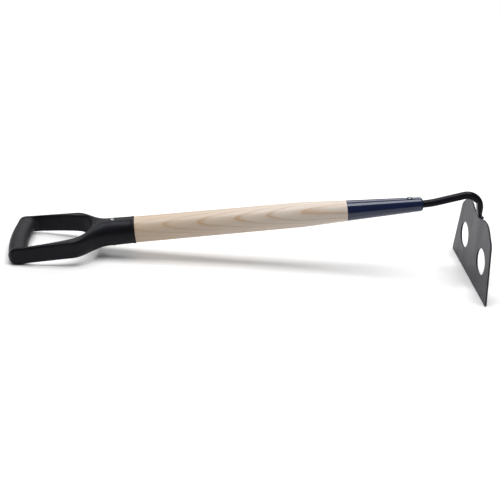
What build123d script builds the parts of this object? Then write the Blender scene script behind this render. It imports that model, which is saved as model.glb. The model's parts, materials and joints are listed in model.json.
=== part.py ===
"""Two-hole mixing hoe: sheet blade, gooseneck shank, ferrule, ash handle and moulded D-grip.

Sizes are in millimetres. The tool is described along its handle: x runs from the mouth of the
grip's socket towards the head, z points away from the blade's edge, and y goes across. The
finished tool lies on the ground on its crossbar and the edge of its blade, with the origin on
the ground below its middle.
"""

import os
from math import asin, atan2, cos, degrees, hypot, pi, radians, sin

from build123d import *

os.makedirs("parts", exist_ok=True)

# Wooden handle
handle_radius = 18.25
barrel_taper = 0.65
tenon_step = 2.5
barrel_length = 232.5
shoulder_length = 62.5
handle_edge_round = 0.6
tenon_chamfer = 1.0

# Ferrule
ferrule_length = 107.5
ferrule_mouth_radius = 14.65
ferrule_tip_radius = 9.85
ferrule_wall = 1.2
ferrule_nose_round = 4.2
ferrule_pin_setback = 18.5
ferrule_pin_radius = 2.4
ferrule_pin_head_radius = 3.9
ferrule_pin_head_height = 1.9
wood_to_nose = 6.0

# Gooseneck shank
rod_radius = 5.4
tang_length = 95.0
tang_point_length = 22.0
tang_point_radius = 2.0
neck_lead = 2.5
neck_rise = 9.0
neck_rise_radius = 115.0
neck_run = 38.0
crook_radius = 20.0
scarf_angle = 11.0
lap_length = 5.0

# Blade
blade_width = 178.0
blade_side_width = 146.0
blade_side_height = 80.0
blade_lobe_height = 105.0
blade_lobe_offset = 39.0
blade_dip_height = 97.0
blade_shoulder_inset = 10.0
blade_shoulder_rise = 12.5
blade_thickness = 2.4
blade_corner_round = 2.5
blade_edge_break = 0.3
blade_lean = 5.8
hole_radius = 19.05
hole_offset = 42.3
hole_height = 46.3

# Weld
weld_bead_radius = 2.9
weld_ring_radius = 6.4
weld_rise = 2.6
weld_overlap = 1.0
weld_sweep = 130.0

# D-grip
grip_length = 156.0
bar_depth = 25.3
bar_inset = 1.6
bar_root = 0.5
bar_bow = 4.2
bar_bow_outward = 3.4
grip_corner_round = 11.0
bar_round = 11.0
arm_height = 25.4
arm_waist = 1.0
arm_end_reach = 16.5
tilt_refinements = 4
grip_shoulder_steps = 6
section_flat = 0.1
arm_round = 4.0
arm_spread_at_bar = 107.0
arm_spread_at_shoulder = 96.5
grip_shoulder_start = 84.0
grip_shoulder_length = 46.0
opening_width_at_bar = 91.0
opening_width_at_middle = 80.0
opening_middle = 100.0
opening_end = 58.0
collar_wall = 3.35
collar_mouth_wall = 2.85
collar_lip = 0.5
collar_lip_length = 3.0
socket_depth = 50.0
grip_rivet_setback = 30.5
grip_rivet_radius = 2.4
grip_rivet_head_radius = 4.5
grip_rivet_head_height = 2.3
rivet_seat_depth = 0.8
rivet_seat_margin = 0.7
washer_radius = 4.6
washer_thickness = 1.2
rivet_tail_radius = 3.2
rivet_tail_height = 1.4

# Clearances
tenon_clearance = 0.1
tenon_end_gap = 1.5
ferrule_clearance = 0.05
tang_clearance = 0.1
pin_clearance = 0.1
shoulder_gap = 0.1
scarf_gap = 0.02
pin_end_gap = 0.3
lap_gap = 0.8

# The grip's socket goes over a tenon turned on the handle's end
tenon_radius = handle_radius - tenon_step
socket_radius = tenon_radius + tenon_clearance
collar_radius = socket_radius + collar_wall
collar_mouth_radius = socket_radius + collar_mouth_wall

# Stations along the handle
ferrule_mouth = barrel_length + shoulder_length
ferrule_end = ferrule_mouth + ferrule_length
pin_station = ferrule_end - ferrule_pin_setback
rivet_station = -grip_rivet_setback
tang_start = ferrule_end - tang_length

# The neck's line: level, up a little, straight, then over and down along the blade
neck_start = (ferrule_end + neck_lead, 0)
rise_end = (
    neck_start[0] + neck_rise_radius * sin(radians(neck_rise)),
    neck_rise_radius * (1 - cos(radians(neck_rise))),
)
crook_start = (
    rise_end[0] + neck_run * cos(radians(neck_rise)),
    rise_end[1] + neck_run * sin(radians(neck_rise)),
)
crook_centre = (
    crook_start[0] + crook_radius * sin(radians(neck_rise)),
    crook_start[1] - crook_radius * cos(radians(neck_rise)),
)
crook_end = (
    crook_centre[0] + crook_radius * cos(radians(blade_lean)),
    crook_centre[1] - crook_radius * sin(radians(blade_lean)),
)

# The blade hangs in line with the crook's end: its middle plane holds the rod's axis
neck_end_above_dip = 12.0
neck_end_length = neck_end_above_dip + lap_length
drop_to_edge = blade_dip_height + neck_end_above_dip
edge_line = (
    crook_end[0] - drop_to_edge * sin(radians(blade_lean)),
    crook_end[1] - drop_to_edge * cos(radians(blade_lean)),
)
blade_edge = (
    edge_line[0] - blade_thickness / 2 * cos(radians(blade_lean)),
    edge_line[1] + blade_thickness / 2 * sin(radians(blade_lean)),
)

# Ground line: it touches the arms' round ends and the lower corner of the blade's edge
arm_end_centre = grip_length + arm_height / 2 - arm_end_reach
end_to_edge = hypot(blade_edge[0] + arm_end_centre, blade_edge[1])
edge_slope = atan2(-blade_edge[1], blade_edge[0] + arm_end_centre)
resting_tilt = edge_slope
for _ in range(tilt_refinements):
    end_support = hypot(arm_end_reach * sin(resting_tilt), arm_height / 2 * cos(resting_tilt))
    resting_tilt = edge_slope - asin(end_support / end_to_edge)
rear_reach = -(grip_length + bar_bow_outward) * cos(resting_tilt) - bar_depth / 2
front_reach = (
    (blade_edge[0] + blade_thickness) * cos(resting_tilt) - blade_edge[1] * sin(resting_tilt)
)
resting = Location(
    (
        -(rear_reach + front_reach) / 2,
        0,
        end_support + arm_end_centre * sin(resting_tilt),
    ),
    (0, -degrees(resting_tilt), 0),
)


def on_tool(plane):
    """Carry a plane from the tool's own lines to where the tool rests."""
    return Plane(resting * plane.location)


def across(station):
    """Plane square to the handle at a station along it, its own y pointing up."""
    return on_tool(Plane.YZ.offset(station))


def above(station, height):
    """Plane whose normal points up off the handle, at a station and a height."""
    return on_tool(Plane((station, 0, height)))


def upright(station):
    """Axis square to the handle, pointing up, at a station."""
    return Axis(above(station, 0).origin, above(station, 0).z_dir)


side_view = on_tool(Plane.XZ)
top_view = on_tool(Plane.XY)
handle_axis = Axis(side_view.origin, side_view.x_dir)
blade_front = on_tool(
    Plane(
        (blade_edge[0], 0, blade_edge[1]),
        x_dir=(0, 1, 0),
        z_dir=(cos(radians(blade_lean)), 0, -sin(radians(blade_lean))),
    )
)
blade_back = blade_front.offset(blade_thickness)


def ferrule_outer(station):
    """Outer radius of the ferrule's taper at a station."""
    along = (station - ferrule_mouth) / ferrule_length
    return ferrule_mouth_radius + (ferrule_tip_radius - ferrule_mouth_radius) * along


# Wooden handle: tenon, barrel, shoulder, and the taper that fills the ferrule
tenon_length = socket_depth - tenon_end_gap
wood_end = ferrule_end - wood_to_nose
inner_wood_start = ferrule_outer(ferrule_mouth) - ferrule_wall - ferrule_clearance
inner_wood_end = ferrule_outer(wood_end) - ferrule_wall - ferrule_clearance

with BuildPart() as wood_handle:
    with BuildSketch(side_view):
        with BuildLine():
            Polyline(
                (-tenon_length, 0),
                (-tenon_length, tenon_radius - tenon_chamfer),
                (-tenon_length + tenon_chamfer, tenon_radius),
                (shoulder_gap, tenon_radius),
                (shoulder_gap, handle_radius - handle_edge_round),
                (shoulder_gap + handle_edge_round, handle_radius),
                (barrel_length, handle_radius - barrel_taper),
                (ferrule_mouth - shoulder_gap, ferrule_mouth_radius),
                (ferrule_mouth - shoulder_gap, inner_wood_start),
                (wood_end, inner_wood_end),
                (wood_end, 0),
                close=True,
            )
        make_face()
    revolve(axis=handle_axis)
    with BuildSketch(across(wood_end)):
        Circle(rod_radius + tang_clearance)
    extrude(amount=-(wood_end - tang_start - tang_point_length), mode=Mode.SUBTRACT)
    with BuildSketch(side_view):
        with BuildLine():
            Polyline(
                (tang_start - tang_clearance, 0),
                (tang_start - tang_clearance, tang_point_radius + tang_clearance),
                (tang_start + tang_point_length, rod_radius + tang_clearance),
                (tang_start + tang_point_length, 0),
                close=True,
            )
        make_face()
    revolve(axis=handle_axis, mode=Mode.SUBTRACT)
    with BuildSketch(above(rivet_station, 0)):
        Circle(grip_rivet_radius + pin_clearance)
    extrude(amount=handle_radius * 2, both=True, mode=Mode.SUBTRACT)
    with BuildSketch(above(pin_station, 0)):
        Circle(ferrule_pin_radius + pin_clearance)
    extrude(amount=handle_radius * 2, both=True, mode=Mode.SUBTRACT)
wood_handle.part.label = "wood_handle"
export_step(wood_handle.part, "parts/wood_handle.step")

# Ferrule: a tapered tube that closes in a round nose about the shank
with BuildPart() as ferrule:
    with BuildSketch(side_view):
        with BuildLine():
            Polyline(
                (ferrule_mouth, 0),
                (ferrule_mouth, ferrule_outer(ferrule_mouth)),
                (ferrule_end, ferrule_outer(ferrule_end)),
                (ferrule_end, 0),
                close=True,
            )
        make_face()
    revolve(axis=handle_axis)
    nose_edge = ferrule.edges().filter_by(GeomType.CIRCLE).sort_by(handle_axis)[-1]
    fillet(nose_edge, ferrule_nose_round)
    with BuildSketch(side_view):
        with BuildLine():
            Polyline(
                (ferrule_mouth, 0),
                (ferrule_mouth, ferrule_outer(ferrule_mouth) - ferrule_wall),
                (wood_end + ferrule_clearance, ferrule_outer(wood_end) - ferrule_wall),
                (wood_end + ferrule_clearance, 0),
                close=True,
            )
        make_face()
    revolve(axis=handle_axis, mode=Mode.SUBTRACT)
    with BuildSketch(across(ferrule_end)):
        Circle(rod_radius + tang_clearance)
    extrude(amount=-wood_to_nose * 2, mode=Mode.SUBTRACT)
    with BuildSketch(above(pin_station, 0)):
        Circle(ferrule_pin_radius + pin_clearance)
    extrude(amount=ferrule_mouth_radius * 2, both=True, mode=Mode.SUBTRACT)
ferrule.part.label = "ferrule"
export_step(ferrule.part, "parts/ferrule.step")


def domed(station, seat, radius, height, up):
    """Side-view outline of a domed head on its seat (up is 1 or -1), to turn about its pin."""
    ball = (radius**2 + height**2) / (2 * height)
    half_sweep = asin(min(1, radius / ball)) / 2
    crown = seat + up * height
    middle = (station + ball * sin(half_sweep), crown - up * ball * (1 - cos(half_sweep)))
    with BuildLine() as outline:
        Polyline((station, crown), (station, seat), (station + radius, seat))
        ThreePointArc((station + radius, seat), middle, (station, crown))
    return outline.line


# Ferrule pin: driven from above, its end flush below
pin_surface = ferrule_outer(pin_station)
pin_seat = ferrule_outer(pin_station - ferrule_pin_head_radius)
with BuildPart() as ferrule_pin:
    with BuildSketch(above(pin_station, pin_seat)):
        Circle(ferrule_pin_radius)
    extrude(amount=-(pin_seat + pin_surface - pin_end_gap))
    with BuildSketch(side_view):
        with BuildLine():
            add(domed(pin_station, pin_seat, ferrule_pin_head_radius, ferrule_pin_head_height, 1))
        make_face()
    revolve(axis=upright(pin_station))
ferrule_pin.part.label = "ferrule_pin"
export_step(ferrule_pin.part, "parts/ferrule_pin.step")

# Gooseneck shank: pointed tang, bent round rod, and an end scarfed to lie on the blade's back
scarf_foot = blade_dip_height + lap_gap
scarf_head = scarf_foot + 4 * rod_radius * cos(radians(scarf_angle))
scarf_step = blade_thickness - scarf_gap
scarf_view = Plane(blade_back.origin, x_dir=blade_back.z_dir, z_dir=-blade_back.x_dir)
with BuildPart() as gooseneck_shank:
    with BuildLine(side_view) as neck_line:
        tang_line = Line((tang_start + tang_point_length, 0), neck_start)
        rise = JernArc(tang_line @ 1, tang_line % 1, neck_rise_radius, neck_rise)
        run = Line(rise_end, crook_start)
        crook = JernArc(run @ 1, run % 1, crook_radius, -(90 + blade_lean + neck_rise))
        Line(crook @ 1, (crook @ 1) + (crook % 1) * neck_end_length)
    with BuildSketch(across(tang_start + tang_point_length)):
        Circle(rod_radius)
    sweep(path=neck_line.line)
    with BuildSketch(side_view):
        with BuildLine():
            Polyline(
                (tang_start, 0),
                (tang_start, tang_point_radius),
                (tang_start + tang_point_length, rod_radius),
                (tang_start + tang_point_length, 0),
                close=True,
            )
        make_face()
    revolve(axis=handle_axis)
    with BuildSketch(scarf_view):
        with BuildLine():
            Polyline(
                (scarf_gap, -blade_width),
                (scarf_gap, scarf_foot),
                (-scarf_step, scarf_foot),
                (-scarf_step - 4 * rod_radius * sin(radians(scarf_angle)), scarf_head),
                (-8 * rod_radius, scarf_head),
                (-8 * rod_radius, -blade_width),
                close=True,
            )
        make_face()
    extrude(amount=2 * rod_radius, both=True, mode=Mode.SUBTRACT)
    with BuildSketch(above(pin_station, 0)):
        Circle(ferrule_pin_radius + pin_clearance)
    extrude(amount=rod_radius * 2, both=True, mode=Mode.SUBTRACT)
gooseneck_shank.part.label = "gooseneck_shank"
export_step(gooseneck_shank.part, "parts/gooseneck_shank.step")

# Blade: flat sheet with a lobed top, straight spreading sides and two round holes
half_width = blade_width / 2
half_top = blade_side_width / 2
side_lean = (half_top - half_width, blade_side_height)
with BuildPart() as blade:
    with BuildSketch(blade_front) as sheet:
        with BuildLine():
            side = Line((half_width, 0), (half_top, blade_side_height))
            lobe = Spline(
                side @ 1,
                (half_top - blade_shoulder_inset, blade_side_height + blade_shoulder_rise),
                (blade_lobe_offset, blade_lobe_height),
                tangents=[side_lean, (-1, 0)],
            )
            Spline(lobe @ 1, (0, blade_dip_height), tangents=[(-1, 0), (-1, 0)])
            Line((0, 0), (half_width, 0))
            mirror(about=Plane.YZ)
        make_face()
        corners = sheet.vertices().sort_by(Axis.X)
        fillet([corners[0], corners[-1]], blade_corner_round)
        with Locations((hole_offset, hole_height), (-hole_offset, hole_height)):
            Circle(hole_radius, mode=Mode.SUBTRACT)
    extrude(amount=blade_thickness)
    front_face, back_face = blade.faces().sort_by(SortBy.AREA)[-2:]
    rim = front_face.outer_wire().edges() + back_face.outer_wire().edges()
    chamfer(rim, blade_edge_break)
blade.part.label = "blade"
export_step(blade.part, "parts/blade.step")

# D-grip: two flat-sided arms that gather into a round collar, and a bowed crossbar
opening_reach = grip_length + bar_depth
bar_half_length = opening_width_at_bar / 2 + bar_root
rivet_seat = collar_radius - rivet_seat_depth
bar_inner = grip_length - bar_depth / 2
bar_ends = -grip_length - bar_bow_outward + bar_bow
rear_ends = bar_ends - bar_depth / 2


def gathered(along):
    """Share of the arms' spread left at a share of the way along the grip's shoulder."""
    return (1 + cos(pi * along)) / 2


def grip_section(station, spread, height, rounding):
    """Rounded cross-section of the grip at a station behind the collar's mouth."""
    with BuildSketch(across(-station)) as section:
        RectangleRounded(spread, height, rounding)
    return section.sketch


collar_size = 2 * collar_radius
arm_sections = [
    grip_section(opening_reach, arm_spread_at_bar, arm_height, arm_round),
    grip_section(
        (opening_reach + grip_shoulder_start) / 2,
        (arm_spread_at_bar + arm_spread_at_shoulder) / 2 - arm_waist,
        arm_height,
        arm_round,
    ),
    grip_section(grip_shoulder_start, arm_spread_at_shoulder, arm_height, arm_round),
]
shoulder_sections = []
for step in range(grip_shoulder_steps + 1):
    kept = gathered(step / grip_shoulder_steps)
    shoulder_sections.append(
        grip_section(
            grip_shoulder_start - step / grip_shoulder_steps * grip_shoulder_length,
            collar_size + (arm_spread_at_shoulder - collar_size) * kept,
            collar_size + (arm_height - collar_size) * kept,
            arm_round + (collar_radius - section_flat - arm_round) * (1 - kept),
        )
    )
collar_start = -(grip_shoulder_start - grip_shoulder_length)
lip_radius = collar_mouth_radius + collar_lip

with BuildPart() as d_grip:
    loft(arm_sections)
    loft(shoulder_sections)
    with BuildSketch(side_view):
        with BuildLine():
            Polyline(
                (collar_start, 0),
                (collar_start, collar_radius - section_flat),
                (rivet_station, collar_radius),
                (-collar_lip_length - collar_lip, collar_mouth_radius),
                (-collar_lip_length, lip_radius),
                (-collar_lip, lip_radius),
                (0, lip_radius - collar_lip),
                (0, 0),
                close=True,
            )
        make_face()
    revolve(axis=handle_axis)
    with BuildSketch(side_view):
        with BuildLine():
            arm_end = EllipticalCenterArc(
                (-arm_end_centre, 0), arm_end_reach, arm_height / 2, start_angle=90, arc_size=180
            )
            Polyline(
                arm_end @ 1,
                (arm_end @ 1) - (0, collar_size),
                (opening_reach, -collar_size - arm_height),
                (opening_reach, collar_size + arm_height),
                (arm_end @ 0) + (0, collar_size),
                arm_end @ 0,
            )
        make_face()
    extrude(amount=arm_spread_at_bar, both=True, mode=Mode.INTERSECT)
    with BuildSketch(top_view) as plan:
        with BuildLine():
            rear = ThreePointArc(
                (rear_ends, -arm_spread_at_bar / 2),
                (rear_ends - bar_bow, 0),
                (rear_ends, arm_spread_at_bar / 2),
            )
            Polyline(
                rear @ 1,
                (collar_size, arm_spread_at_bar / 2),
                (collar_size, -arm_spread_at_bar / 2),
                rear @ 0,
            )
        make_face()
        fillet(plan.vertices().sort_by(Axis.X)[:2], grip_corner_round)
    extrude(amount=collar_size, both=True, mode=Mode.INTERSECT)
    with BuildSketch(top_view):
        with BuildLine():
            opening_side = Line(
                (-opening_reach, opening_width_at_bar / 2),
                (-bar_inner, opening_width_at_bar / 2),
            )
            opening_edge = Spline(
                opening_side @ 1,
                (-opening_middle, opening_width_at_middle / 2),
                (-opening_end, 0),
                tangents=[(1, 0), (0, -1)],
            )
            Line((-opening_reach, 0), (-opening_reach, opening_width_at_bar / 2))
            mirror(about=Plane.XZ)
        make_face()
    extrude(amount=collar_size, both=True, mode=Mode.SUBTRACT)
    with BuildLine(top_view) as bar_line:
        ThreePointArc(
            (bar_ends, -bar_half_length),
            (bar_ends - bar_bow, 0),
            (bar_ends, bar_half_length),
        )
    bar_start = Plane(
        bar_line.line @ 0,
        x_dir=top_view.z_dir,
        z_dir=bar_line.line % 0,
    )
    with BuildSketch(bar_start):
        RectangleRounded(arm_height - 2 * bar_inset, bar_depth, bar_round)
    sweep(path=bar_line.line)
    with BuildSketch(across(0)):
        Circle(socket_radius)
    extrude(amount=-socket_depth, mode=Mode.SUBTRACT)
    with BuildSketch(above(rivet_station, 0)):
        Circle(grip_rivet_radius + pin_clearance)
    extrude(amount=collar_size, both=True, mode=Mode.SUBTRACT)
    for side in (1, -1):
        with BuildSketch(above(rivet_station, side * rivet_seat)):
            Circle(washer_radius + rivet_seat_margin)
        extrude(amount=side * collar_size, mode=Mode.SUBTRACT)
d_grip.part.label = "d_grip"
export_step(d_grip.part, "parts/d_grip.step")

# Grip rivet: domed head in a flat seat above, tail peened over a washer below
with BuildPart() as grip_rivet:
    with BuildSketch(above(rivet_station, rivet_seat)):
        Circle(grip_rivet_radius)
    extrude(amount=-2 * rivet_seat - washer_thickness)
    with BuildSketch(side_view):
        add(domed(rivet_station, rivet_seat, grip_rivet_head_radius, grip_rivet_head_height, 1))
        make_face()
    revolve(axis=upright(rivet_station))
    with BuildSketch(side_view):
        add(
            domed(
                rivet_station,
                -rivet_seat - washer_thickness,
                rivet_tail_radius,
                rivet_tail_height,
                -1,
            )
        )
        make_face()
    revolve(axis=upright(rivet_station))
grip_rivet.part.label = "grip_rivet"
export_step(grip_rivet.part, "parts/grip_rivet.step")

# Washer between the socket and the rivet's tail
with BuildPart() as grip_rivet_washer:
    with BuildSketch(above(rivet_station, -rivet_seat)):
        Circle(washer_radius)
        Circle(grip_rivet_radius + pin_clearance, mode=Mode.SUBTRACT)
    extrude(amount=-washer_thickness)
grip_rivet_washer.part.label = "grip_rivet_washer"
export_step(grip_rivet_washer.part, "parts/grip_rivet_washer.step")

# Weld: a heavy bead round the shank's end on the back of the blade
weld_plane = blade_back.offset(weld_rise)
weld_centre = blade_dip_height - lap_length + weld_ring_radius + weld_overlap
with BuildPart() as weld_bead:
    with BuildLine(weld_plane) as weld_line:
        CenterArc((0, weld_centre), weld_ring_radius, 270 - weld_sweep / 2, weld_sweep)
    weld_start = Plane(
        weld_line.line @ 0,
        x_dir=weld_plane.z_dir,
        z_dir=weld_line.line % 0,
    )
    with BuildSketch(weld_start):
        Circle(weld_bead_radius)
    sweep(path=weld_line.line)
    with Locations(weld_line.line @ 0, weld_line.line @ 1):
        Sphere(weld_bead_radius)
    add(gooseneck_shank.part, mode=Mode.SUBTRACT)
    add(blade.part, mode=Mode.SUBTRACT)
    with BuildSketch(blade_back):
        Rectangle(blade_width, 4 * blade_lobe_height)
    extrude(amount=-blade_width, mode=Mode.SUBTRACT)
weld_bead.part.label = "weld_bead"
export_step(weld_bead.part, "parts/weld_bead.step")
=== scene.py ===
"""Looks of the two-hole mixing hoe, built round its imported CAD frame. Lengths are in metres."""

import json
import math

import bpy
import numpy as np
from mathutils import Matrix, Vector, noise


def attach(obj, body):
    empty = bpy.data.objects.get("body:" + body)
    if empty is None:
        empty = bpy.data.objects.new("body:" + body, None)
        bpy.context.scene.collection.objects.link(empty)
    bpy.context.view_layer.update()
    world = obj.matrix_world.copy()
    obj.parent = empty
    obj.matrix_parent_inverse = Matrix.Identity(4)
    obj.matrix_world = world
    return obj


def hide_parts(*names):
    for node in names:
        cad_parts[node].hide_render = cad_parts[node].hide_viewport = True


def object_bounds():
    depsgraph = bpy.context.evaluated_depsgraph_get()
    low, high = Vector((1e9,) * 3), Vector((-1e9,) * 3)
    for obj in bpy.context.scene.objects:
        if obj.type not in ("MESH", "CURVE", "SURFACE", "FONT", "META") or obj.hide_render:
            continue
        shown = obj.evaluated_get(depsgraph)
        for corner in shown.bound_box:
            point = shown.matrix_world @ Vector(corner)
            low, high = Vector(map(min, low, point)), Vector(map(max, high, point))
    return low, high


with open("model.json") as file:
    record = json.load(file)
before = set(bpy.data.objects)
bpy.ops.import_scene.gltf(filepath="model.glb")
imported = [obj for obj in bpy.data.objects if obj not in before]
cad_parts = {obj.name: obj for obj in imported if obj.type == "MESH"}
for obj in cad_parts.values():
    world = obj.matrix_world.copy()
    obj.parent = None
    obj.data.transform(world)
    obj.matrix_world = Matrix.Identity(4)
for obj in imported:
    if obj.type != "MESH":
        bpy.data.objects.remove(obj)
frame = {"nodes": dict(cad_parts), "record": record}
cad_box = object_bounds()

nodes = frame["nodes"]
mounts = {m["name"]: m for m in frame["record"]["mounts"]}

# The handle's own lines: station along it from the grip's mouth, across, and up off it
opening_station = -0.105
handle_up = Vector(mounts["grip_opening"]["axis"])
handle_along = Vector((handle_up.z, 0, -handle_up.x))
grip_mouth = Vector(mounts["grip_opening"]["pos_m"]) - opening_station * handle_along
handle_tilt = math.atan2(handle_along.z, handle_along.x)

# The blade's own lines: across, up from its edge, and out through its back
blade_back_way = Vector(mounts["blade_hole_far"]["axis"])
blade_up = Vector((-blade_back_way.z, 0, blade_back_way.x))
blade_middle = (
    Vector(mounts["blade_hole_far"]["pos_m"]) + Vector(mounts["blade_hole_near"]["pos_m"])
) / 2
hole_height = 0.0463
blade_edge_middle = blade_middle - hole_height * blade_up


# ---------------------------------------------------------------- camera
# The camera's place and directions along, across and up off the handle, from its mouth
camera_along, camera_across, camera_off = 0.11188, -1.21969, 0.59942
forward_along, forward_across, forward_off = 0.0325, 0.8828, -0.4687
upward_along, upward_across, upward_off = 0.0893, 0.4645, 0.8811
sensor_width_mm = 36.0
lens_mm = 70.33

camera_place = grip_mouth + camera_along * handle_along + camera_off * handle_up
camera_place.y = camera_across
camera_forward = (
    forward_along * handle_along + Vector((0, forward_across, 0)) + forward_off * handle_up
)
camera_up = upward_along * handle_along + Vector((0, upward_across, 0)) + upward_off * handle_up
camera_forward.normalize()
camera_right = camera_forward.cross(camera_up).normalized()
camera_true_up = camera_right.cross(camera_forward)
camera_data = bpy.data.cameras.new("camera")
camera_data.sensor_width = sensor_width_mm
camera_data.lens = lens_mm
camera = bpy.data.objects.new("camera", camera_data)
camera.matrix_world = Matrix.Translation(camera_place) @ Matrix(
    (camera_right, camera_true_up, -camera_forward)
).transposed().to_4x4()
bpy.context.scene.collection.objects.link(camera)
bpy.context.scene.camera = camera
bpy.context.scene.view_settings.view_transform = "Standard"


# ---------------------------------------------------------------- node helpers
def new_material(name, **sockets):
    """A material whose Principled shader has these constants on its own sockets."""
    made = bpy.data.materials.new(name)
    made.use_nodes = True
    shader = made.node_tree.nodes["Principled BSDF"]
    for socket, value in sockets.items():
        shader.inputs[socket.replace("_", " ")].default_value = value
    return made


def add(material, kind, inputs=None, **settings):
    """Adds a node; each input is a constant or another node's output."""
    made = material.node_tree.nodes.new(kind)
    for key, value in settings.items():
        setattr(made, key, value)
    for socket, value in (inputs or {}).items():
        if isinstance(value, bpy.types.NodeSocket):
            material.node_tree.links.new(value, made.inputs[socket])
        else:
            made.inputs[socket].default_value = value
    return made


def maths(material, operation, first, second=0.0, third=0.0):
    return add(
        material, "ShaderNodeMath", {0: first, 1: second, 2: third}, operation=operation
    ).outputs[0]


def spread(material, value, low, high, to_low=0.0, to_high=1.0):
    """Maps low..high to to_low..to_high, clamped and eased at both ends."""
    return add(
        material,
        "ShaderNodeMapRange",
        {0: value, 1: low, 2: high, 3: to_low, 4: to_high},
        interpolation_type="SMOOTHSTEP",
    ).outputs[0]


def grain(material, where, scale, detail=3.0, roughness=0.5, distortion=0.0):
    return add(
        material,
        "ShaderNodeTexNoise",
        {
            "Vector": where,
            "Scale": scale,
            "Detail": detail,
            "Roughness": roughness,
            "Distortion": distortion,
        },
    ).outputs[0]


def blend_colour(material, share, first, second):
    made = add(material, "ShaderNodeMix", data_type="RGBA")
    for index, value in ((0, share), (6, first), (7, second)):
        if isinstance(value, bpy.types.NodeSocket):
            material.node_tree.links.new(value, made.inputs[index])
        else:
            made.inputs[index].default_value = value
    return made.outputs[2]


def to_shader(material, **sockets):
    shader = material.node_tree.nodes["Principled BSDF"]
    for socket, value in sockets.items():
        material.node_tree.links.new(value, shader.inputs[socket.replace("_", " ")])


def bump(material, height, distance, strength=1.0, onto=None):
    inputs = {"Height": height, "Distance": distance, "Strength": strength}
    if onto is not None:
        inputs["Normal"] = onto
    return add(material, "ShaderNodeBump", inputs).outputs[0]


def part_place(material):
    """Where a point is in the tool's frame: every piece's own origin sits at the frame's."""
    return add(material, "ShaderNodeTexCoord").outputs["Object"]


def handle_place(material, turn=0.0):
    """Where a point is along, across and up off the handle, turned about the handle's axis."""
    start = Matrix.Rotation(handle_tilt, 3, "Y") @ grip_mouth
    on_handle = add(
        material,
        "ShaderNodeMapping",
        {
            "Vector": part_place(material),
            "Rotation": (0, handle_tilt, 0),
            "Location": (-start.x, 0, -start.z),
        },
    ).outputs[0]
    return add(
        material, "ShaderNodeMapping", {"Vector": on_handle, "Rotation": (turn, 0, 0)}
    ).outputs[0]


def stretched(material, where, along, across, up):
    return add(
        material, "ShaderNodeMapping", {"Vector": where, "Scale": (along, across, up)}
    ).outputs[0]


def put_on(material, *names):
    for name in names:
        piece = nodes[name]
        piece.data.materials.clear()
        piece.data.materials.append(material)


# ---------------------------------------------------------------- ash wood
# Flat-sawn ash: rings about a pith that lies behind the handle and leans away from it,
# so that the growth rings surface as pointed arches on the handle's front.
pith_depth = 0.060
pith_lean = 0.066
ring_width = 0.0030
ring_shift = -0.30
front_turn = math.radians(-53)
sway_in_rings = 0.7
tremble_in_rings = 0.16

wood = new_material("ash_lacquered", Coat_Weight=0.25, Coat_Roughness=0.28)
wood_at = handle_place(wood, front_turn)
split = add(wood, "ShaderNodeSeparateXYZ", {0: wood_at}).outputs
depth = maths(wood, "MULTIPLY_ADD", split[0], pith_lean, pith_depth)
depth = maths(wood, "ADD", depth, split[2])
from_pith = add(
    wood,
    "ShaderNodeVectorMath",
    {0: add(wood, "ShaderNodeCombineXYZ", {1: split[1], 2: depth}).outputs[0]},
    operation="LENGTH",
).outputs["Value"]
sway = grain(wood, stretched(wood, wood_at, 9, 55, 55), 1.0, 2.0)
tremble = grain(wood, stretched(wood, wood_at, 45, 500, 500), 1.0, 2.0)
rings = maths(wood, "MULTIPLY_ADD", from_pith, 1 / ring_width, ring_shift)
rings = maths(wood, "MULTIPLY_ADD", sway, sway_in_rings, rings)
rings = maths(wood, "MULTIPLY_ADD", tremble, tremble_in_rings, rings)
in_ring = maths(wood, "FRACT", rings)
early = maths(
    wood,
    "MULTIPLY",
    spread(wood, in_ring, 0.0, 0.05),
    spread(wood, in_ring, 0.08, 0.34, 1.0, 0.0),
)
late = spread(wood, in_ring, 0.45, 1.0)
patchy = grain(wood, stretched(wood, wood_at, 5, 90, 90), 1.0, 1.0)
at_tips = spread(wood, maths(wood, "ABSOLUTE", split[1]), 0.012, 0.001, 0.62, 1.0)
ring_strength = maths(wood, "MULTIPLY", at_tips, spread(wood, patchy, 0.3, 0.7, 0.65, 1.0))
fibres = grain(wood, stretched(wood, wood_at, 40, 2600, 2600), 1.0, 4.0, 0.6)
# where the rings run out at the handle's sides, fine straight streaks show as well
streaks = spread(
    wood, grain(wood, stretched(wood, wood_at, 3.5, 700, 1100), 1.0, 2.0), 0.52, 0.66
)
streak_share = spread(wood, split[2], 0.013, 0.002, 0.08, 0.75)
pores = grain(wood, stretched(wood, wood_at, 150, 3800, 3800), 1.0, 2.0)
pores = maths(
    wood, "MULTIPLY", spread(wood, pores, 0.60, 0.68), spread(wood, early, 0.1, 0.6)
)
broad = grain(wood, stretched(wood, wood_at, 4, 40, 40), 1.0, 2.0)
warm = blend_colour(wood, broad, (0.535, 0.425, 0.32, 1), (0.47, 0.37, 0.275, 1))
cool = blend_colour(wood, broad, (0.625, 0.56, 0.50, 1), (0.565, 0.495, 0.425, 1))
# the wood runs yellower towards the grip and paler, greyer towards the ferrule
tone = blend_colour(wood, spread(wood, split[0], 0.0, 0.26), warm, cool)
tone = blend_colour(wood, maths(wood, "MULTIPLY", late, 0.35), tone, (0.50, 0.39, 0.295, 1))
tone = blend_colour(
    wood, spread(wood, fibres, 0.35, 0.75, 0.0, 0.45), tone, (0.47, 0.36, 0.27, 1)
)
tone = blend_colour(
    wood, maths(wood, "MULTIPLY", streaks, streak_share), tone, (0.36, 0.27, 0.205, 1)
)
tone = blend_colour(
    wood, maths(wood, "MULTIPLY", early, ring_strength), tone, (0.43, 0.265, 0.145, 1)
)
tone = blend_colour(wood, maths(wood, "MULTIPLY", pores, 0.7), tone, (0.26, 0.17, 0.10, 1))
wood_rough = spread(wood, fibres, 0.2, 0.8, 0.42, 0.56)
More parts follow.
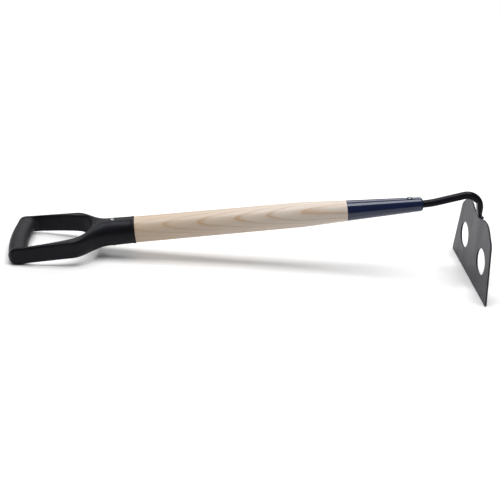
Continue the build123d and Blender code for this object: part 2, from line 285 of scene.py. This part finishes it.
wood_relief = maths(wood, "SUBTRACT", fibres, maths(wood, "MULTIPLY", pores, 1.2))
to_shader(
    wood,
    Base_Color=tone,
    Roughness=wood_rough,
    Normal=bump(wood, wood_relief, 0.00006, 0.7),
)
put_on(wood, "wood_handle")


# ---------------------------------------------------------------- painted metal
def enamel(name, colour, rough, specular, coat, relief, mottle):
    """Sprayed enamel over metal: slight orange peel, mottled gloss, fine dust."""
    made = new_material(
        name,
        Specular_IOR_Level=specular,
        Specular_Tint=(0.82, 0.85, 1.0, 1),
        Coat_Weight=coat,
        Coat_Roughness=0.12,
    )
    where = part_place(made)
    peel = grain(made, where, 900, 2.0)
    wave = grain(made, where, 120, 2.0)
    patch = grain(made, where, 45, 3.0)
    dust = spread(made, grain(made, where, 2600, 1.0), 0.66, 0.74)
    lighter = tuple(min(1, c * 1.5 + 0.004) for c in colour[:3]) + (1,)
    tone = blend_colour(made, maths(made, "MULTIPLY", patch, mottle), colour, lighter)
    tone = blend_colour(made, maths(made, "MULTIPLY", dust, 0.10), tone, (0.30, 0.30, 0.31, 1))
    gloss = maths(
        made,
        "MULTIPLY_ADD",
        dust,
        0.2,
        spread(made, patch, 0.3, 0.7, rough * 0.85, rough * 1.25),
    )
    bumps = maths(made, "MULTIPLY_ADD", wave, 2.0, peel)
    to_shader(made, Base_Color=tone, Roughness=gloss, Normal=bump(made, bumps, relief, 0.8))
    return made


navy = enamel("navy_enamel", (0.0032, 0.008, 0.036, 1), 0.16, 0.28, 0.55, 0.00003, 0.35)
black = enamel("black_enamel", (0.0032, 0.0032, 0.0046, 1), 0.30, 0.12, 0.02, 0.00005, 0.6)
put_on(navy, "ferrule")
put_on(black, "gooseneck_shank")
weld_paint = enamel("weld_enamel", (0.006, 0.006, 0.008, 1), 0.28, 0.35, 0.15, 0.00008, 0.8)

# ---------------------------------------------------------------- blade
blade_paint = new_material(
    "gunmetal_coat", Specular_IOR_Level=0.24, Specular_Tint=(0.80, 0.84, 1.0, 1)
)
flat_at = part_place(blade_paint)
vertical = grain(blade_paint, stretched(blade_paint, flat_at, 300, 420, 9), 1.0, 3.0)
smears = grain(blade_paint, stretched(blade_paint, flat_at, 30, 60, 14), 1.0, 3.0, 0.6)
tooth = grain(blade_paint, flat_at, 1500, 3.0)
specks = spread(blade_paint, grain(blade_paint, flat_at, 2200, 1.0), 0.68, 0.76)
plate = blend_colour(
    blade_paint,
    spread(blade_paint, smears, 0.3, 0.7),
    (0.012, 0.012, 0.016, 1),
    (0.022, 0.022, 0.029, 1),
)
drawn = spread(blade_paint, vertical, 0.35, 0.7, 0.0, 0.45)
plate = blend_colour(blade_paint, drawn, plate, (0.036, 0.036, 0.044, 1))
# the coat is lighter grey in a band down the middle below the dip, and rubbed at the edge
blade_split = add(blade_paint, "ShaderNodeSeparateXYZ", {0: flat_at}).outputs
up_blade = add(
    blade_paint,
    "ShaderNodeVectorMath",
    {0: flat_at, 1: blade_up},
    operation="DOT_PRODUCT",
).outputs["Value"]
up_blade = maths(blade_paint, "SUBTRACT", up_blade, blade_edge_middle.dot(blade_up))
wander = maths(blade_paint, "MULTIPLY_ADD", smears, 0.03, -0.015)
off_middle = maths(blade_paint, "ABSOLUTE", maths(blade_paint, "ADD", blade_split[1], wander))
middle_band = maths(
    blade_paint,
    "MULTIPLY",
    spread(blade_paint, off_middle, 0.016, 0.002),
    spread(blade_paint, up_blade, 0.028, 0.085),
)
near_edge = maths(blade_paint, "MULTIPLY_ADD", smears, 0.006, up_blade)
rubbed = maths(
    blade_paint,
    "MULTIPLY",
    spread(blade_paint, near_edge, 0.0065, 0.0035),
    spread(blade_paint, vertical, 0.4, 0.65, 0.15, 0.7),
)
plate = blend_colour(
    blade_paint, maths(blade_paint, "MULTIPLY", middle_band, 0.75), plate, (0.058, 0.058, 0.068, 1)
)
plate = blend_colour(
    blade_paint, maths(blade_paint, "MULTIPLY", specks, 0.25), plate, (0.16, 0.16, 0.17, 1)
)
plate = blend_colour(
    blade_paint, maths(blade_paint, "MULTIPLY", rubbed, 0.6), plate, (0.085, 0.085, 0.095, 1)
)
to_shader(
    blade_paint,
    Base_Color=plate,
    Roughness=spread(blade_paint, smears, 0.25, 0.75, 0.34, 0.44),
    Normal=bump(blade_paint, tooth, 0.00003, 0.6),
)
put_on(blade_paint, "blade")

# ---------------------------------------------------------------- plated rivet, washer and pin
plated = new_material("zinc_plate", Metallic=1.0)
plated_at = part_place(plated)
cloud = grain(plated, plated_at, 700, 3.0)
scratch = grain(plated, stretched(plated, plated_at, 900, 9000, 900), 1.0, 2.0)
to_shader(
    plated,
    Base_Color=blend_colour(plated, cloud, (0.17, 0.17, 0.18, 1), (0.10, 0.10, 0.11, 1)),
    Roughness=spread(plated, cloud, 0.3, 0.7, 0.16, 0.28),
    Normal=bump(plated, scratch, 0.00002, 0.6),
)
put_on(plated, "grip_rivet", "grip_rivet_washer", "ferrule_pin")

# ---------------------------------------------------------------- moulded grip
plastic = new_material(
    "moulded_black", Specular_IOR_Level=0.15, Specular_Tint=(0.88, 0.90, 1.0, 1)
)
grip_at = handle_place(plastic)
grip_split = add(plastic, "ShaderNodeSeparateXYZ", {0: grip_at}).outputs
between_arms = spread(plastic, maths(plastic, "ABSOLUTE", grip_split[1]), 0.0465, 0.0440)
on_bar = maths(
    plastic, "MULTIPLY", between_arms, spread(plastic, grip_split[0], -0.1385, -0.1425)
)
fine = grain(plastic, part_place(plastic), 1900, 3.0, 0.6)
coarse = grain(plastic, part_place(plastic), 420, 3.0, 0.55)
flow = grain(plastic, stretched(plastic, grip_at, 25, 60, 60), 1.0, 3.0, 0.6)
scuffs = spread(plastic, grain(plastic, part_place(plastic), 1300, 2.0), 0.62, 0.72)
body = blend_colour(
    plastic,
    spread(plastic, flow, 0.3, 0.7),
    (0.0030, 0.0030, 0.0042, 1),
    (0.0058, 0.0058, 0.0076, 1),
)
# painted highlight: the crossbar between the arms is blended towards lighter grey for the light
# on its upward face; scuffs lighten it slightly everywhere
body = blend_colour(
    plastic,
    maths(plastic, "MULTIPLY_ADD", on_bar, 0.10, maths(plastic, "MULTIPLY", scuffs, 0.05)),
    body,
    (0.12, 0.12, 0.125, 1),
)
texture = maths(
    plastic, "MULTIPLY_ADD", maths(plastic, "MULTIPLY", coarse, on_bar), 2.2, fine
)
to_shader(
    plastic,
    Base_Color=body,
    Roughness=maths(
        plastic, "MULTIPLY_ADD", on_bar, 0.10, spread(plastic, flow, 0.25, 0.75, 0.36, 0.46)
    ),
    Normal=bump(plastic, texture, 0.00005, 0.8),
)
put_on(plastic, "d_grip")


# ---------------------------------------------------------------- sculpted copies
def copy_of(name, piece_name, voxel):
    """A closed copy of a CAD node's mesh, remeshed to an even grid so that it can be sculpted."""
    mesh = nodes[name].data.copy()
    mesh.name = piece_name
    piece = bpy.data.objects.new(piece_name, mesh)
    bpy.context.scene.collection.objects.link(piece)
    remesh = piece.modifiers.new("grid", "REMESH")
    remesh.mode = "VOXEL"
    remesh.voxel_size = voxel
    remesh.use_smooth_shade = True
    graph = bpy.context.evaluated_depsgraph_get()
    graph.update()
    final = bpy.data.meshes.new_from_object(piece.evaluated_get(graph))
    piece.modifiers.clear()
    piece.data = final
    final.name = piece_name
    return piece


def places(piece):
    flat = np.zeros(len(piece.data.vertices) * 3)
    piece.data.vertices.foreach_get("co", flat)
    return flat.reshape(-1, 3)


def place(piece, points):
    piece.data.vertices.foreach_set("co", points.astype(np.float32).ravel())
    piece.data.update()


def relaxed(piece, points, share, rounds, back=0.0):
    """Moves each point towards the mean of its neighbours by its share, then back out."""
    edges = np.zeros(len(piece.data.edges) * 2, int)
    piece.data.edges.foreach_get("vertices", edges)
    one, other = edges.reshape(-1, 2).T
    count = len(points)
    degree = np.bincount(one, minlength=count) + np.bincount(other, minlength=count)
    degree = np.maximum(degree, 1)[:, None]

    def pulled(now, amount):
        total = np.empty_like(now)
        for axis in range(3):
            total[:, axis] = np.bincount(one, now[other, axis], count)
            total[:, axis] += np.bincount(other, now[one, axis], count)
        return now + amount * (total / degree - now)

    for _ in range(rounds):
        points = pulled(points, share)
        if back:
            points = pulled(points, -back * share)
    return points


def eased(value, low, high):
    part = np.clip((value - low) / (high - low), 0, 1)
    return part * part * (3 - 2 * part)


grip_voxel = 0.0009
grip_kept_share = 0.45
crotch_station, crotch_reach, crotch_width = -0.064, 0.011, 0.026
bar_station, bar_reach = -0.145, 0.012
bar_end_offset, bar_end_reach = 0.044, 0.006
bead_voxel = 0.0003
ripple_pitch = 0.0011
ripple_height = 0.0006

along_axis = np.array(handle_along)
mouth = np.array(grip_mouth)

grip = copy_of("d_grip", "grip_skin", grip_voxel)
points = places(grip)
station = (points - mouth) @ along_axis
width = points[:, 1]
even = np.full((len(points), 1), 0.5)
points = relaxed(grip, points, even, 6, back=1.04)
# soft fillets: most in the crotch, some along the arms and at the bar's ends, none on the collar
arms = 1 - eased(station, -0.056, -0.046)
points = relaxed(grip, points, 0.5 * arms[:, None], 16, back=1.0)
crotch = np.exp(
    -(((station - crotch_station) / crotch_reach) ** 2) - (width / crotch_width) ** 2
)
bar_ends = np.exp(
    -(((station - bar_station) / bar_reach) ** 2)
    - ((np.abs(width) - bar_end_offset) / bar_end_reach) ** 2
)
softness = np.clip(0.5 * crotch + 0.35 * bar_ends + 0.05 * arms, 0, 0.5)
points = relaxed(grip, points, softness[:, None], 40)
place(grip, points)
thin = grip.modifiers.new("thin", "DECIMATE")
thin.ratio = grip_kept_share
for polygon in grip.data.polygons:
    polygon.use_smooth = True
grip.data.materials.clear()
grip.data.materials.append(plastic)
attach(grip, "root")
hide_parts("d_grip")

bead = copy_of("weld_bead", "weld_bead_rippled", bead_voxel)
points = places(bead)
points = relaxed(bead, points, np.full((len(points), 1), 0.5), 4, back=1.04)
normals = np.zeros(len(points) * 3)
place(bead, points)
bead.data.vertices.foreach_get("normal", normals)
normals = normals.reshape(-1, 3)
across_bead = points[:, 1] - points[:, 1].mean()
lumps = np.array(
    [
        0.45 * noise.noise(Vector(p * 420.0)) + 0.2 * noise.noise(Vector(p * 1100.0))
        for p in points
    ]
)
ripple = 0.16 * np.sin(across_bead / ripple_pitch * math.pi)
points = points + normals * ((lumps + ripple) * ripple_height)[:, None]
place(bead, points)
for polygon in bead.data.polygons:
    polygon.use_smooth = True
bead.data.materials.clear()
bead.data.materials.append(weld_paint)
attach(bead, "root")
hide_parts("weld_bead")


# ---------------------------------------------------------------- floor and light
def plane_mesh(name, half):
    corners = [(-half, -half, 0), (half, -half, 0), (half, half, 0), (-half, half, 0)]
    mesh = bpy.data.meshes.new(name)
    mesh.from_pydata(corners, [], [(0, 1, 2, 3)])
    made = bpy.data.objects.new(name, mesh)
    bpy.context.scene.collection.objects.link(made)
    return made


floor_half = 12.0
floor_gap = 0.0002
floor = plane_mesh("floor", floor_half)
floor.location.z = cad_box[0].z - floor_gap
pale = new_material(
    "pale_floor", Base_Color=(0.90, 0.90, 0.90, 1), Roughness=0.9, Specular_IOR_Level=0.1
)
floor.data.materials.append(pale)


def soft_light(name, spot, aim, size_x, size_y, power):
    data = bpy.data.lights.new(name, "AREA")
    data.shape = "RECTANGLE"
    data.size, data.size_y = size_x, size_y
    data.energy = power
    made = bpy.data.objects.new(name, data)
    made.location = spot
    made.rotation_mode = "QUATERNION"
    made.rotation_quaternion = (Vector(aim) - Vector(spot)).to_track_quat("-Z", "Y")
    bpy.context.scene.collection.objects.link(made)
    return made


soft_light("overhead", (0.0, 0.05, 2.1), (0, 0, 0), 2.6, 1.1, 57)
soft_light("background", (0.0, 3.2, 2.6), (0, 1.8, 0), 5.0, 2.2, 105)

world = bpy.data.worlds.new("studio")
world.use_nodes = True
world.node_tree.nodes["Background"].inputs[0].default_value = (1.0, 1.0, 1.0, 1)
world.node_tree.nodes["Background"].inputs[1].default_value = 0.12
bpy.context.scene.world = world
